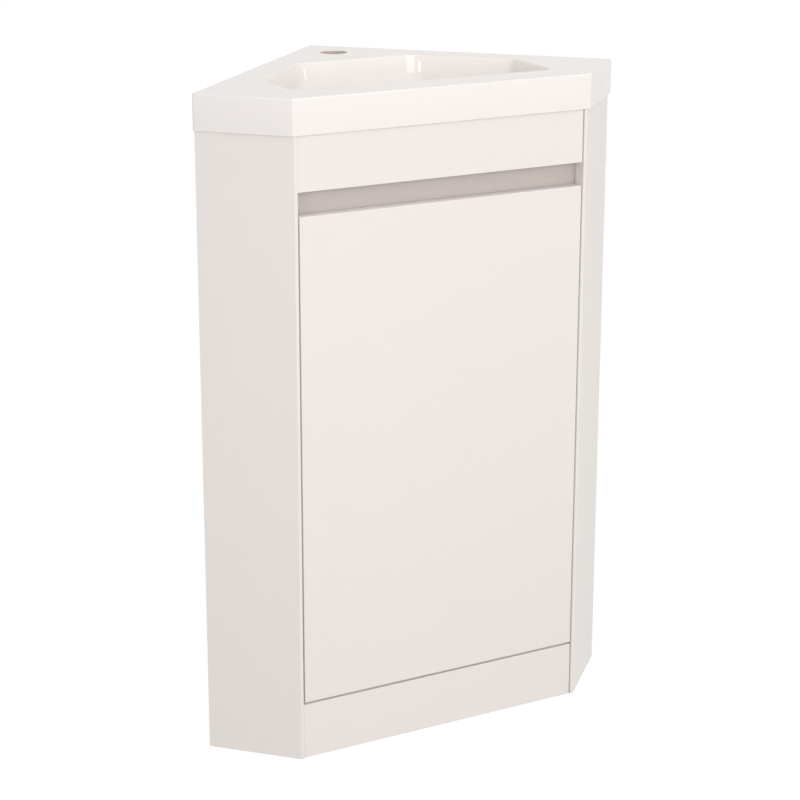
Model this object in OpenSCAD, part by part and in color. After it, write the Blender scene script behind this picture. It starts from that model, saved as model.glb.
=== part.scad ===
// Corner vanity unit: a five-sided basin on a corner cabinet with one flush door under a finger recess.
// The floor is z = 0. The front faces -Y and the corner of the room is at +Y.
// In the front frame, y runs back from the basin's front face and x = 0 is the line of symmetry.
// In the corner frame, the walls meet at the origin: x is the distance from the right wall,
// and y the distance from the left wall. Right-hand pieces are drawn there and mirrored for the left.

/* [Basin] */
// Length of each basin edge that lies along a wall
basin_wall = 417; // [390:1:450]
// Length of each short return between a wall and the front
basin_return = 126; // [115:1:140]
// Height of the basin's outer face
basin_apron_h = 45; // [36:1:60]
// Thickness of the deck
deck_t = 15; // [10:1:20]
// Width of the solid rim that the basin stands on
basin_rim_w = 20; // [18:1:26]
// Deck in front of the bowl
deck_front_w = 50; // [46:1:58]
// Deck beside the bowl, from the front corner
deck_side_w = 26; // [22:1:36]
// Deck between the bowl and each wall
deck_wall_w = 39; // [36:1:48]
// Deck behind the bowl, back to the corner of the walls
deck_back_w = 139; // [128:1:150]
// Depth of the bowl below the deck
bowl_depth = 85; // [75:1:100]
// Height of the bowl's upright back wall above its slope
bowl_step_h = 24; // [15:1:32]
// Steepness of the slope below the upright back wall, in degrees
bowl_slope = 48; // [42:1:60]
// Lean of the bowl's other walls, from rim to floor
bowl_draft = 12; // [6:1:16]
// Radius of the bowl's upright corners
bowl_corner_r = 14; // [10:1:16]
// Radius between the bowl's walls and floor
bowl_floor_r = 22; // [16:1:26]
// Thickness of the bowl's wall
bowl_wall_t = 8; // [6:1:10]
// Diameter of the tap hole
tap_hole_d = 36; // [32:1:38]
// Tap hole's distance from the corner of the walls
tap_setback = 74; // [66:1:84]

/* [Waste] */
// Waste's distance from the basin's front
waste_y = 125; // [115:1:140]
// Diameter of the waste hole
waste_hole_d = 45; // [43:1:47]
// Fall of the bowl's floor towards the waste
waste_fall = 3; // [2:0.5:5]
// Width of the shallow dish that falls to the waste
waste_dish_d = 84; // [76:1:90]
// Diameter of the boss under the bowl
waste_boss_d = 72; // [68:1:80]
// Length of the boss below the bowl's floor
waste_boss_h = 8; // [5:1:14]
// Diameter of the waste's flange
waste_flange_d = 63; // [60:1:66]
// Thickness of the waste's flange
waste_flange_t = 2.5; // [2:0.5:4]
// Outside diameter of the waste's threaded tail
waste_tail_d = 41.9; // [40:0.1:42]
// Length of the tail below the flange
waste_tail_l = 80; // [65:1:100]
// Wall of the tail
waste_tail_wall = 3.5; // [2.5:0.5:5]
// Relief of the shank inside the basin and its nut
waste_shank_relief = 0.4; // [0.2:0.1:1]
// Thickness of the seal under the flange
top_seal_t = 1.5; // [1:0.5:3]
// Thickness of the washer under the basin
lower_seal_t = 8; // [5:1:10]
// Diameter of the washer under the basin
lower_seal_d = 60; // [56:1:64]
// Width of the back nut across its corners
back_nut_d = 64; // [58:1:70]
// Thickness of the back nut
back_nut_t = 10; // [8:1:14]
// Diameter of the plug's cap
plug_cap_d = 62; // [58:1:64]
// Thickness of the plug's cap at its edge
plug_cap_t = 3; // [2:0.5:5]
// Rise of the plug's domed top
plug_dome_h = 3; // [2:0.5:5]
// Diameter of the plug's stem
plug_stem_d = 8; // [6:1:10]
// Length of the plug's stem
plug_stem_l = 48; // [42:1:60]

/* [Cabinet] */
// Height of the cabinet from the floor to the basin
cabinet_h = 800; // [740:5:860]
// Thickness of the side panels, bottom, shelf, legs and back rails
panel_t = 16; // [14:1:18]
// Basin's overhang past each side panel
side_overhang = 4; // [2:1:8]
// Basin's overhang past the cabinet along the walls
wall_overhang = 1; // [0:1:4]
// Setback of the side panels' front tips from the basin's front
tip_setback = 3; // [2:1:5]
// Width of the flat on each front tip
tip_flat = 4; // [3:1:6]
// Setback of the fascia, door and plinth from the basin's front
front_setback = 5; // [4:1:8]
// Thickness of the fascia and the plinth
front_board_t = 18; // [17:1:20]
// Height of the fascia
fascia_h = 68; // [55:1:90]
// Height of the finger recess between fascia and door
recess_h = 30; // [25:1:40]
// Thickness of the rail behind the finger recess
recess_rail_t = 12; // [10:1:14]
// Overlap of the recess rail behind the door's top
recess_rail_lap = 20; // [15:1:30]
// Height of the plinth
plinth_h = 73; // [60:1:100]
// Joint at each end of the fascia and the plinth
board_gap = 1; // [0.5:0.5:2]
// Height of the back rails
back_rail_h = 100; // [80:1:130]
// Width of the two rear corner legs
leg_w = 80; // [70:1:100]
// Height of the shelf's underside above the floor
shelf_z = 370; // [300:5:450]
// Setback of the shelf from the bottom panel's front edge
shelf_setback = 22; // [15:1:60]
// Clearance round the shelf
shelf_gap = 1; // [0.5:0.5:2]

/* [Door] */
// Thickness of the door
door_t = 16; // [15:1:17]
// Gap at each side of the door
door_side_gap = 2; // [1.5:0.5:4]
// Gap between the door and the plinth
door_bottom_gap = 3; // [2:0.5:5]
// Distance of each hinge from the door's end
hinge_inset = 100; // [80:5:140]
// Diameter of the hinge cup
cup_d = 35; // [30:1:36]
// Depth of the hinge cup
cup_depth = 11.5; // [10:0.5:12.5]
// Distance from the door's edge to the cup's centre
cup_edge = 22.5; // [21:0.5:26]
// Distance from the side panel's front edge to the hinge plate's screws
hinge_plate_setback = 37; // [34:1:45]
// Diameter of the door buffers
buffer_d = 10; // [8:1:14]
// Distance of the buffers from the door's free edge
buffer_edge = 25; // [15:1:60]

/* [Fittings] */
// Edge of the plastic corner blocks
block_w = 20; // [18:1:26]
// Diameter of the wood screws
screw_d = 4; // [3:0.5:4.5]
// Diameter of the screws' heads
screw_head_d = 8; // [7:0.5:9]
// Depth that the block screws reach into a panel
screw_bite = 10; // [8:1:13]
// Diameter of the dowels
dowel_d = 8; // [6:1:10]
// Length of the dowels
dowel_l = 30; // [24:2:40]
// Diameter of the cam locks
cam_d = 15; // [12:1:16]
// Depth of the cam locks
cam_depth = 12; // [11:0.5:13]
// Diameter of the cam bolts
cam_bolt_d = 5; // [4:0.5:6]
// Distance from the side panel to the cam locks' centres
cam_setback = 24; // [20:1:34]
// Diameter of the shelf pins
shelf_pin_d = 5; // [4:0.5:6]
// Depth of the shelf pins in a panel
shelf_pin_depth = 8; // [6:1:11]
// Reach of the shelf pins under the shelf
shelf_pin_reach = 9; // [7:1:14]
// Diameter of the wall fixing holes in the upper back rails
wall_hole_d = 6; // [5:0.5:8]

/* [Hidden] */

gloss_white = [0.95, 0.93, 0.92];
glaze_white = [0.98, 0.97, 0.96];
board_white = [0.90, 0.89, 0.87];
nylon_white = [0.85, 0.85, 0.83];
steel_grey = [0.72, 0.73, 0.75];
beech = [0.80, 0.65, 0.45];
rubber_black = [0.15, 0.15, 0.16];
clear_grey = [0.82, 0.84, 0.85];

$fn = 64;
root2 = sqrt(2);
hull_fn = 32;
eps = 0.01;                 // lets a cutter pass a face
floor_lap = 0.5;            // rise of the floor's cutters into the bowl's rounded form
fit_gap = 0.05;             // radial clearance of a screw, dowel, pin or cup in its hole
rest_gap = 0.3;             // clearance where a moving piece comes to rest
waste_seat_gap = 1;         // clearance round the waste's flange in its seat

// Plan of the basin, in the front frame
basin_depth = (basin_wall + basin_return) / root2;
basin_front_half = (basin_wall - basin_return) / root2;
basin_half_w = basin_wall / root2;
return_y = basin_return / root2;
total_h = cabinet_h + basin_apron_h;

// Side panels: each face is a line x = y + offset, and the wall side is the line x + y = wall_sum
outer_line = (basin_wall - side_overhang) * root2 - basin_depth;
inner_line = outer_line - panel_t * root2;
wall_sum = basin_depth - wall_overhang * root2;
cut_x = outer_line + tip_setback - tip_flat;
inner_edge_y = cut_x - inner_line;

// The same faces in the corner frame
wall_face = wall_overhang;
rail_face = wall_face + panel_t;
panel_face = basin_wall - side_overhang - panel_t;
inner_edge_x = (basin_depth - cut_x - inner_edge_y) / root2;

// Front boards and door
front_back_y = front_setback + front_board_t;
rail_back_y = front_back_y + recess_rail_t;
fascia_z = cabinet_h - fascia_h;
door_top = fascia_z - recess_h;
door_z = plinth_h + door_bottom_gap;
door_half_w = cut_x - door_side_gap;
door_back_y = front_setback + door_t;
board_half_w = cut_x - board_gap;
bottom_top = plinth_h + panel_t;
recess_rail_z = door_top - recess_rail_lap;
hinge_zs = [door_z + hinge_inset, door_top - hinge_inset];
cup_x = door_half_w - cup_edge;

// Bowl outline: the back corners lie on the line x + y = bowl_sum
bowl_half_w = basin_front_half - deck_side_w;
bowl_sum = basin_depth - deck_wall_w * root2;
bowl_back_y = basin_depth - deck_back_w;
slope_run = (bowl_depth - bowl_step_h) / tan(bowl_slope);
floor_z = total_h - bowl_depth;
tap_y = basin_depth - tap_setback;

// Waste
waste_seat_z = floor_z - waste_fall - waste_flange_t - top_seal_t;
waste_flange_z = waste_seat_z + top_seal_t;
waste_top_z = waste_flange_z + waste_flange_t;
waste_seat_d = waste_flange_d + 2 * waste_seat_gap;
waste_boss_z = floor_z - bowl_wall_t - waste_boss_h;
lower_seal_z = waste_boss_z - lower_seal_t;
tail_r = waste_tail_d / 2;
tail_bore_r = tail_r - waste_tail_wall;
shank_r = tail_r - waste_shank_relief;
back_nut_z = lower_seal_z - back_nut_t;
spider_depth = 25;
spider_h = 16;
spider_boss_wall = 3;
spider_boss_r = plug_stem_d / 2 + spider_boss_wall;
spider_arm_w = 2.5;
spider_arms = 3;

// Fittings
block_zs = [bottom_top + back_rail_h / 2, cabinet_h - back_rail_h / 2];
leg_block_shift = 60;
leg_block_zs = [bottom_top + back_rail_h + leg_block_shift, cabinet_h - back_rail_h - leg_block_shift];
plinth_block_x = 130;
block_screw_shift = block_w / 4;
block_screw_l = block_w + screw_bite;
fascia_screw_xs = [60, 150];
fascia_screw_z = fascia_z + fascia_h / 2;
fascia_screw_bite = 14;
fascia_screw_l = recess_rail_t + fascia_screw_bite;
cam_inset = 20;
cam_step = 60;
cam_xs = [rail_face + cam_inset, rail_face + cam_inset + cam_step];
cam_z = plinth_h + panel_t / 2;
cam_bolt_bite = 10;
dowel_zs = [-25, 25];
pin_inset = 15;
leg_pin_inset = 20;
pin_step = 60;
pin_xs = [rail_face + pin_inset, rail_face + pin_inset + pin_step];
leg_pin_y = wall_face + leg_w - leg_pin_inset;
pin_z = shelf_z - shelf_pin_d / 2;
wall_hole_inset = 60;
bracket_t = 2;
bracket_leg = 25;
bracket_hole_setback = 15;
bracket_h = 50;
bracket_z = (recess_rail_z + cabinet_h) / 2;
bracket_screw_zs = [-15, 15];
bracket_screw_bite = 9;
bracket_screw_l = bracket_t + bracket_screw_bite;
bracket_corner_x = (basin_depth - inner_line) / root2 - rail_back_y * root2;

// Hinges
plate_base_t = 2;
plate_body_h = 6;
plate_body_l = 40;
plate_body_w = 16;
plate_wing_h = 50;
plate_wing_w = 16;
plate_screw_shift = 17;
plate_screw_l = 13;
plate_x = inner_edge_x - hinge_plate_setback;
arm_h = 9;
arm_w = 18;
arm_wall = 1.5;
arm_tail = 26;
arm_lead = 25;
flange_t = 1.2;
flange_w = 28;
flange_h = 62;
cup_wall = 1.4;
cup_screw_shift = 24;
cup_screw_l = 11;
knuckle_w = 12;
knuckle_h = 16;
arm_front_y = door_back_y + flange_t + rest_gap;

// ---- Frames and shared shapes ----

module front_frame() {
    translate([0, -basin_depth / 2, 0]) children();
}

module corner_frame() {
    translate([0, basin_depth / 2, 0]) rotate(225) children();
}

module corner_plan() {
    translate([0, basin_depth]) rotate(225) children();
}

module both_sides() {
    children();
    mirror([1, 0, 0]) children();
}

// The hinges are on the left
module hinge_side() {
    mirror([1, 0, 0]) children();
}

// A countersunk screw: the head's face is at the origin and the shank points down
module screw(length, clear = 0) {
    head_h = (screw_head_d - screw_d) / 2;
    translate([0, 0, -length - clear]) cylinder(d = screw_d + 2 * clear, h = length + clear);
    translate([0, 0, -head_h]) cylinder(d1 = screw_d + 2 * clear, d2 = screw_head_d + 2 * clear, h = head_h);
}

module rod_along_y(d, from_y, to_y) {
    translate([0, from_y, 0]) rotate([-90, 0, 0]) cylinder(d = d, h = to_y - from_y);
}

// ---- Carcass plans ----

function on_side(offset, y) = [offset + y, y];
function at_wall(offset) = [(wall_sum + offset) / 2, (wall_sum - offset) / 2];

module side_panel_plan() {
    polygon([
        [cut_x, tip_setback], on_side(outer_line, tip_setback),
        at_wall(outer_line), at_wall(inner_line), [cut_x, inner_edge_y]
    ]);
}

// The space between the side panels, from a line across the front back to the walls
module inside_plan(front_y, side_gap, wall_gap) {
    side = panel_face - side_gap;
    near = wall_face + wall_gap;
    intersection() {
        corner_plan() translate([near, near]) square(side - near);
        translate([-basin_half_w, front_y]) square([2 * basin_half_w, basin_depth]);
    }
}

module leg_plan(start) {
    translate([wall_face, start]) square([panel_t, wall_face + leg_w - start]);
}

// The space that a leg takes out of a board, open towards the walls
module leg_notch() {
    square([rail_face, wall_face + leg_w]);
}

// ---- Where the fittings go, each drawn for one piece and cut from its neighbours ----

// Block frame: one face lies on x = 0 and one on y = 0
module at_blocks() {
    for (z = block_zs)
        both_sides() corner_frame() translate([rail_face, panel_face, z]) mirror([0, 1, 0]) children();
    for (z = leg_block_zs)
        corner_frame() translate([rail_face, rail_face, z]) children();
    both_sides() front_frame() translate([plinth_block_x, front_back_y, plinth_h])
        rotate([-90, 0, 90]) children();
}

module block_screw_pair(clear = 0) {
    translate([block_w, block_w / 2, block_screw_shift]) rotate([0, 90, 0]) screw(block_screw_l, clear);
    translate([block_w / 2, block_w, -block_screw_shift]) rotate([-90, 0, 0]) screw(block_screw_l, clear);
}

module block_screw_set(clear = 0) {
    at_blocks() block_screw_pair(clear);
}

module cam_bolt_set(clear = 0) {
    both_sides() corner_frame() for (x = cam_xs)
        translate([x, 0, cam_z])
            rod_along_y(cam_bolt_d + 2 * clear, panel_face - cam_setback + cam_d / 2, panel_face + cam_bolt_bite);
}

module cam_lock_set(clear = 0) {
    both_sides() corner_frame() for (x = cam_xs)
        translate([x, panel_face - cam_setback, plinth_h - clear])
            cylinder(d = cam_d + 2 * clear, h = cam_depth + clear);
}

// Dowels join each back rail to its leg
module dowel_set(clear = 0) {
    joint_y = wall_face + leg_w;
    both_sides() corner_frame() for (z = block_zs, dz = dowel_zs)
        translate([wall_face + panel_t / 2, 0, z + dz])
            rod_along_y(dowel_d + 2 * clear, joint_y - dowel_l / 2 - clear, joint_y + dowel_l / 2 + clear);
}

module shelf_pin_set(clear = 0) {
    both_sides() corner_frame() {
        for (x = pin_xs)
            translate([x, 0, pin_z])
                rod_along_y(shelf_pin_d + 2 * clear, panel_face - shelf_pin_reach, panel_face + shelf_pin_depth);
        translate([rail_face - shelf_pin_depth, leg_pin_y, pin_z]) rotate([0, 90, 0])
            cylinder(d = shelf_pin_d + 2 * clear, h = shelf_pin_depth + shelf_pin_reach);
    }
}

module fascia_screw_set(clear = 0) {
    both_sides() front_frame() for (x = fascia_screw_xs)
        translate([x, rail_back_y, fascia_screw_z]) rotate([-90, 0, 0]) screw(fascia_screw_l, clear);
}

module bracket_screw_set(clear = 0) {
    both_sides() for (dz = bracket_screw_zs) {
        front_frame() translate([inner_line + rail_back_y - bracket_hole_setback, rail_back_y + bracket_t, bracket_z + dz])
            rotate([-90, 0, 0]) screw(bracket_screw_l, clear);
        corner_frame() translate([bracket_corner_x - bracket_hole_setback, panel_face - bracket_t, bracket_z + dz])
            rotate([90, 0, 0]) screw(bracket_screw_l, clear);
    }
}

module wall_hole_set() {
    both_sides() corner_frame() for (y = [wall_face + leg_w + wall_hole_inset, panel_face - wall_hole_inset])
        translate([wall_face - eps, y, block_zs[1]]) rotate([0, 90, 0])
            cylinder(d = wall_hole_d, h = panel_t + 2 * eps);
}

module plate_screw_set(clear = 0) {
    hinge_side() corner_frame() for (z = hinge_zs, dz = [-plate_screw_shift, plate_screw_shift])
        translate([plate_x, panel_face - plate_base_t, z + dz]) rotate([90, 0, 0]) screw(plate_screw_l, clear);
}

module cup_screw_set(clear = 0) {
    hinge_side() front_frame() for (z = hinge_zs, dz = [-cup_screw_shift, cup_screw_shift])
        translate([cup_x, door_back_y + flange_t, z + dz]) rotate([-90, 0, 0]) screw(cup_screw_l, clear);
}

// ---- Cabinet ----

module right_side_panel() {
    color(gloss_white) difference() {
        front_frame() linear_extrude(cabinet_h) side_panel_plan();
        block_screw_set(fit_gap);
        bracket_screw_set(fit_gap);
        cam_bolt_set(fit_gap);
        shelf_pin_set(fit_gap);
        plate_screw_set(fit_gap);
    }
}

module left_side_panel() {
    color(gloss_white) difference() {
        front_frame() mirror([1, 0, 0]) linear_extrude(cabinet_h) side_panel_plan();
        block_screw_set(fit_gap);
        bracket_screw_set(fit_gap);
        cam_bolt_set(fit_gap);
        shelf_pin_set(fit_gap);
        plate_screw_set(fit_gap);
    }
}

module fascia_panel() {
    color(gloss_white) difference() {
        front_frame() translate([-board_half_w, front_setback, fascia_z])
            cube([2 * board_half_w, front_board_t, fascia_h]);
        fascia_screw_set(fit_gap);
    }
}

// Closes the back of the finger recess; its ends are cut to the side panels' inner faces
module recess_rail() {
    color(board_white) difference() {
        front_frame() translate([0, 0, recess_rail_z]) linear_extrude(cabinet_h - recess_rail_z)
            polygon([
                on_side(inner_line, front_back_y), on_side(inner_line, rail_back_y),
                [-inner_line - rail_back_y, rail_back_y], [-inner_line - front_back_y, front_back_y]
            ]);
        fascia_screw_set(fit_gap);
        bracket_screw_set(fit_gap);
    }
}

module plinth_board() {
    color(gloss_white) difference() {
        front_frame() translate([-board_half_w, front_setback, 0])
            cube([2 * board_half_w, front_board_t, plinth_h]);
        block_screw_set(fit_gap);
    }
}

module bottom_panel() {
    color(board_white) difference() {
        front_frame() translate([0, 0, plinth_h]) linear_extrude(panel_t) difference() {
            inside_plan(front_back_y, 0, 0);
            both_sides() corner_plan() leg_notch();
        }
        block_screw_set(fit_gap);
        cam_bolt_set(fit_gap);
        cam_lock_set(fit_gap);
    }
}

module shelf() {
    color(board_white) front_frame() translate([0, 0, shelf_z]) linear_extrude(panel_t)
        inside_plan(front_back_y + shelf_setback, shelf_gap, panel_t + shelf_gap);
}

module shelf_pins() {
    color(steel_grey) shelf_pin_set();
}

module right_rear_leg() {
    color(board_white) difference() {
        corner_frame() linear_extrude(cabinet_h) leg_plan(wall_face);
        block_screw_set(fit_gap);
        dowel_set(fit_gap);
        shelf_pin_set(fit_gap);
    }
}

module left_rear_leg() {
    color(board_white) difference() {
        mirror([1, 0, 0]) corner_frame() linear_extrude(cabinet_h) leg_plan(rail_face);
        block_screw_set(fit_gap);
        dowel_set(fit_gap);
        shelf_pin_set(fit_gap);
    }
}

module back_rail(z) {
    start = wall_face + leg_w;
    difference() {
        corner_frame() translate([wall_face, start, z - back_rail_h / 2])
            cube([panel_t, panel_face - start, back_rail_h]);
        block_screw_set(fit_gap);
        dowel_set(fit_gap);
        wall_hole_set();
    }
}

module upper_back_rail_right() {
    color(board_white) back_rail(block_zs[1]);
}

module upper_back_rail_left() {
    color(board_white) mirror([1, 0, 0]) back_rail(block_zs[1]);
}

module lower_back_rail_right() {
    color(board_white) back_rail(block_zs[0]);
}

module lower_back_rail_left() {
    color(board_white) mirror([1, 0, 0]) back_rail(block_zs[0]);
}

// ---- Cabinet fittings ----

module corner_blocks() {
    color(nylon_white) at_blocks() difference() {
        translate([0, 0, -block_w / 2]) cube(block_w);
        block_screw_pair(fit_gap);
    }
}

module block_screws() {
    color(steel_grey) block_screw_set();
}

// Steel straps bent to the angle between the recess rail and the side panels
module rail_brackets() {
    color(steel_grey) difference() {
        both_sides() {
            front_frame() translate([inner_line + rail_back_y - bracket_leg, rail_back_y, bracket_z - bracket_h / 2])
                cube([bracket_leg, bracket_t, bracket_h]);
            corner_frame()
                translate([bracket_corner_x - bracket_leg, panel_face - bracket_t, bracket_z - bracket_h / 2])
                cube([bracket_leg, bracket_t, bracket_h]);
        }
        bracket_screw_set(fit_gap);
    }
}

module bracket_screws() {
    color(steel_grey) bracket_screw_set();
}

module fascia_screws() {
    color(steel_grey) fascia_screw_set();
}

module cam_locks() {
    color(steel_grey) cam_lock_set();
}

module cam_bolts() {
    color(steel_grey) cam_bolt_set();
}

module dowels() {
    color(beech) dowel_set();
}

// ---- Basin ----

module basin_plan() {
    polygon([
        [-basin_front_half, 0], [basin_front_half, 0], [basin_half_w, return_y],
        [0, basin_depth], [-basin_half_w, return_y]
    ]);
}

// The plan inside the rim, drawn as the space between lines parallel to each side
module basin_inside_plan() {
    side = basin_wall - basin_rim_w;
    intersection() {
        corner_plan() translate([basin_rim_w, basin_rim_w]) square(side - basin_rim_w);
        translate([-basin_half_w, basin_rim_w]) square([2 * basin_half_w, basin_depth]);
    }
}

// Centres of the right-hand corner rounds of a bowl outline
function bowl_corners(front, half_w, sum, back, r) = [
    [half_w - r, front + r],
    [half_w - r, sum - r * root2 - (half_w - r)],
    [sum - r * root2 - (back - r), back - r]
];

module bowl_form(grow) {
    rim = bowl_corners(deck_front_w, bowl_half_w, bowl_sum, bowl_back_y, bowl_corner_r);
    low = bowl_corners(deck_front_w + bowl_draft, bowl_half_w - bowl_draft,
        bowl_sum - bowl_draft * root2, bowl_back_y - slope_run, bowl_floor_r);
    hull() both_sides() {
        for (p = rim)
            translate([p.x, p.y, total_h - bowl_step_h])
                cylinder(r = bowl_corner_r + grow, h = bowl_step_h + 1, $fn = hull_fn);
        for (p = low)
            translate([p.x, p.y, floor_z + bowl_floor_r])
                sphere(r = bowl_floor_r + grow, $fn = hull_fn);
    }
}

module basin() {
    color(glaze_white) front_frame() difference() {
        union() {
            translate([0, 0, total_h - deck_t]) linear_extrude(deck_t) basin_plan();
            translate([0, 0, cabinet_h]) linear_extrude(basin_apron_h) difference() {
                basin_plan();
                basin_inside_plan();
            }
            intersection() {
                bowl_form(bowl_wall_t);
                translate([0, 0, floor_z - bowl_wall_t]) linear_extrude(bowl_depth) basin_plan();
            }
            translate([0, waste_y, waste_boss_z]) cylinder(d = waste_boss_d, h = waste_boss_h + bowl_wall_t / 2);
        }
        bowl_form(0);
        translate([0, tap_y, total_h - deck_t - eps]) cylinder(d = tap_hole_d, h = deck_t + 2 * eps);
        translate([0, waste_y, floor_z - waste_fall])
            cylinder(d1 = waste_seat_d, d2 = waste_dish_d, h = waste_fall + floor_lap);
        translate([0, waste_y, waste_seat_z])
            cylinder(d = waste_seat_d, h = floor_z - waste_seat_z + floor_lap);
        translate([0, waste_y, waste_boss_z - eps]) cylinder(d = waste_hole_d, h = waste_boss_h + bowl_wall_t);
    }
}

// ---- Waste ----

module at_waste() {
    front_frame() translate([0, waste_y, 0]) children();
}

module waste_body() {
    color(steel_grey) at_waste() {
        difference() {
            union() {
                translate([0, 0, waste_flange_z]) cylinder(d = waste_flange_d, h = waste_flange_t);
                translate([0, 0, back_nut_z]) cylinder(r = shank_r, h = waste_top_z - back_nut_z);
                translate([0, 0, waste_flange_z - waste_tail_l])
                    cylinder(r = tail_r, h = back_nut_z - waste_flange_z + waste_tail_l);
            }
            translate([0, 0, waste_flange_z - waste_tail_l - eps])
                cylinder(r = tail_bore_r, h = waste_tail_l + waste_flange_t + 2 * eps);
        }
        // Spider that guides the plug's stem
        translate([0, 0, waste_flange_z - spider_depth - spider_h]) difference() {
            union() {
                cylinder(r = spider_boss_r, h = spider_h);
                for (i = [0 : spider_arms - 1])
                    rotate(i * 360 / spider_arms) translate([0, -spider_arm_w / 2, 0])
                        cube([tail_bore_r + waste_tail_wall / 2, spider_arm_w, spider_h]);
            }
            translate([0, 0, -eps]) cylinder(r = plug_stem_d / 2 + fit_gap, h = spider_h + 2 * eps);
        }
    }
}

module waste_top_seal() {
    color(rubber_black) at_waste() translate([0, 0, waste_seat_z]) difference() {
        cylinder(d = waste_flange_d, h = top_seal_t);
        translate([0, 0, -eps]) cylinder(r = tail_r + fit_gap, h = top_seal_t + 2 * eps);
    }
}

module waste_lower_seal() {
    color(rubber_black) at_waste() translate([0, 0, lower_seal_z]) difference() {
        cylinder(d = lower_seal_d, h = lower_seal_t);
        translate([0, 0, -eps]) cylinder(r = tail_r + fit_gap, h = lower_seal_t + 2 * eps);
    }
}

module waste_back_nut() {
    color(steel_grey) at_waste() translate([0, 0, back_nut_z]) difference() {
        cylinder(d = back_nut_d, h = back_nut_t, $fn = 6);
        translate([0, 0, -eps]) cylinder(r = tail_r + fit_gap, h = back_nut_t + 2 * eps);
    }
}

// Sprung plug: it clicks down to close the waste and up to open it
module waste_plug() {
    cap_r = plug_cap_d / 2;
    dome_r = (cap_r * cap_r + plug_dome_h * plug_dome_h) / (2 * plug_dome_h);
    color(steel_grey) at_waste() translate([0, 0, waste_top_z + rest_gap]) {
        rotate_extrude() intersection() {
            translate([0, plug_cap_t + plug_dome_h - dome_r]) circle(r = dome_r, $fn = 720);
            square([cap_r, plug_cap_t + plug_dome_h]);
        }
        translate([0, 0, -plug_stem_l]) cylinder(d = plug_stem_d, h = plug_stem_l + plug_cap_t / 2);
    }
}

// ---- Door and hinges ----

module door_panel() {
    color(gloss_white) difference() {
        front_frame() translate([-door_half_w, front_setback, door_z])
            cube([2 * door_half_w, door_t, door_top - door_z]);
        hinge_side() front_frame() for (z = hinge_zs)
            translate([cup_x, 0, z]) rod_along_y(cup_d + 2 * fit_gap, door_back_y - cup_depth, door_back_y + eps);
        cup_screw_set(fit_gap);
    }
}

module door_buffers() {
    stop_zs = [plinth_h + panel_t / 2 + door_bottom_gap, door_top - recess_rail_lap / 2];
    color(clear_grey) front_frame() for (z = stop_zs)
        translate([door_half_w - buffer_edge, 0, z])
            rod_along_y(buffer_d, door_back_y, front_back_y - rest_gap);
}

module hinge_cups() {
    color(steel_grey) difference() {
        hinge_side() front_frame() for (z = hinge_zs) translate([cup_x, 0, z]) {
            difference() {
                union() {
                    rod_along_y(cup_d, door_back_y - cup_depth, door_back_y + flange_t);
                    translate([-flange_w / 2, door_back_y, -flange_h / 2]) cube([flange_w, flange_t, flange_h]);
                }
                rod_along_y(cup_d - 2 * cup_wall, door_back_y - cup_depth + cup_wall, door_back_y + flange_t + eps);
            }
            // Folded links of the hinge, inside the cup
            translate([-knuckle_w / 2, door_back_y - cup_depth + cup_wall / 2, -knuckle_h / 2])
                cube([knuckle_w, cup_depth - cup_wall / 2, knuckle_h]);
        }
        cup_screw_set(fit_gap);
    }
}

module hinge_cup_screws() {
    color(steel_grey) cup_screw_set();
}

// Channel that reaches from the plate to the door's back; its end is cut parallel to the door
module arm_plan(inset) {
    top = panel_face - plate_body_h;
    intersection() {
        translate([plate_x - arm_tail + inset, top - arm_h + inset])
            square([hinge_plate_setback + arm_tail + arm_lead - inset, arm_h]);
        // The front frame's cut line, seen from the corner frame
        rotate(-225) translate([-basin_half_w, -basin_depth + arm_front_y + inset])
            square([2 * basin_half_w, basin_depth]);
    }
}

module hinge_arms() {
    color(steel_grey) hinge_side() corner_frame() for (z = hinge_zs) difference() {
        translate([0, 0, z - arm_w / 2]) linear_extrude(arm_w) arm_plan(0);
        translate([0, 0, z - arm_w / 2 + arm_wall]) linear_extrude(arm_w - 2 * arm_wall) arm_plan(arm_wall);
    }
}

module hinge_plates() {
    color(steel_grey) difference() {
        hinge_side() corner_frame() for (z = hinge_zs) translate([plate_x, panel_face, z]) {
            translate([-plate_wing_w / 2, -plate_base_t, -plate_wing_h / 2])
                cube([plate_wing_w, plate_base_t, plate_wing_h]);
            translate([-plate_body_l / 2, -plate_body_h, -plate_body_w / 2])
                cube([plate_body_l, plate_body_h, plate_body_w]);
        }
        plate_screw_set(fit_gap);
    }
}

module hinge_plate_screws() {
    color(steel_grey) plate_screw_set();
}

left_side_panel();
right_side_panel();
fascia_panel();
recess_rail();
plinth_board();
bottom_panel();
shelf();
shelf_pins();
right_rear_leg();
left_rear_leg();
upper_back_rail_right();
upper_back_rail_left();
lower_back_rail_right();
lower_back_rail_left();
corner_blocks();
block_screws();
rail_brackets();
bracket_screws();
fascia_screws();
cam_locks();
cam_bolts();
dowels();
basin();
waste_body();
waste_top_seal();
waste_lower_seal();
waste_back_nut();
waste_plug();
door_panel();
door_buffers();
hinge_cups();
hinge_cup_screws();
hinge_arms();
hinge_plates();
hinge_plate_screws();
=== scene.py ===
import math

import bmesh
import bpy
from mathutils import Matrix, Vector
from mathutils.geometry import delaunay_2d_cdt


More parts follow.
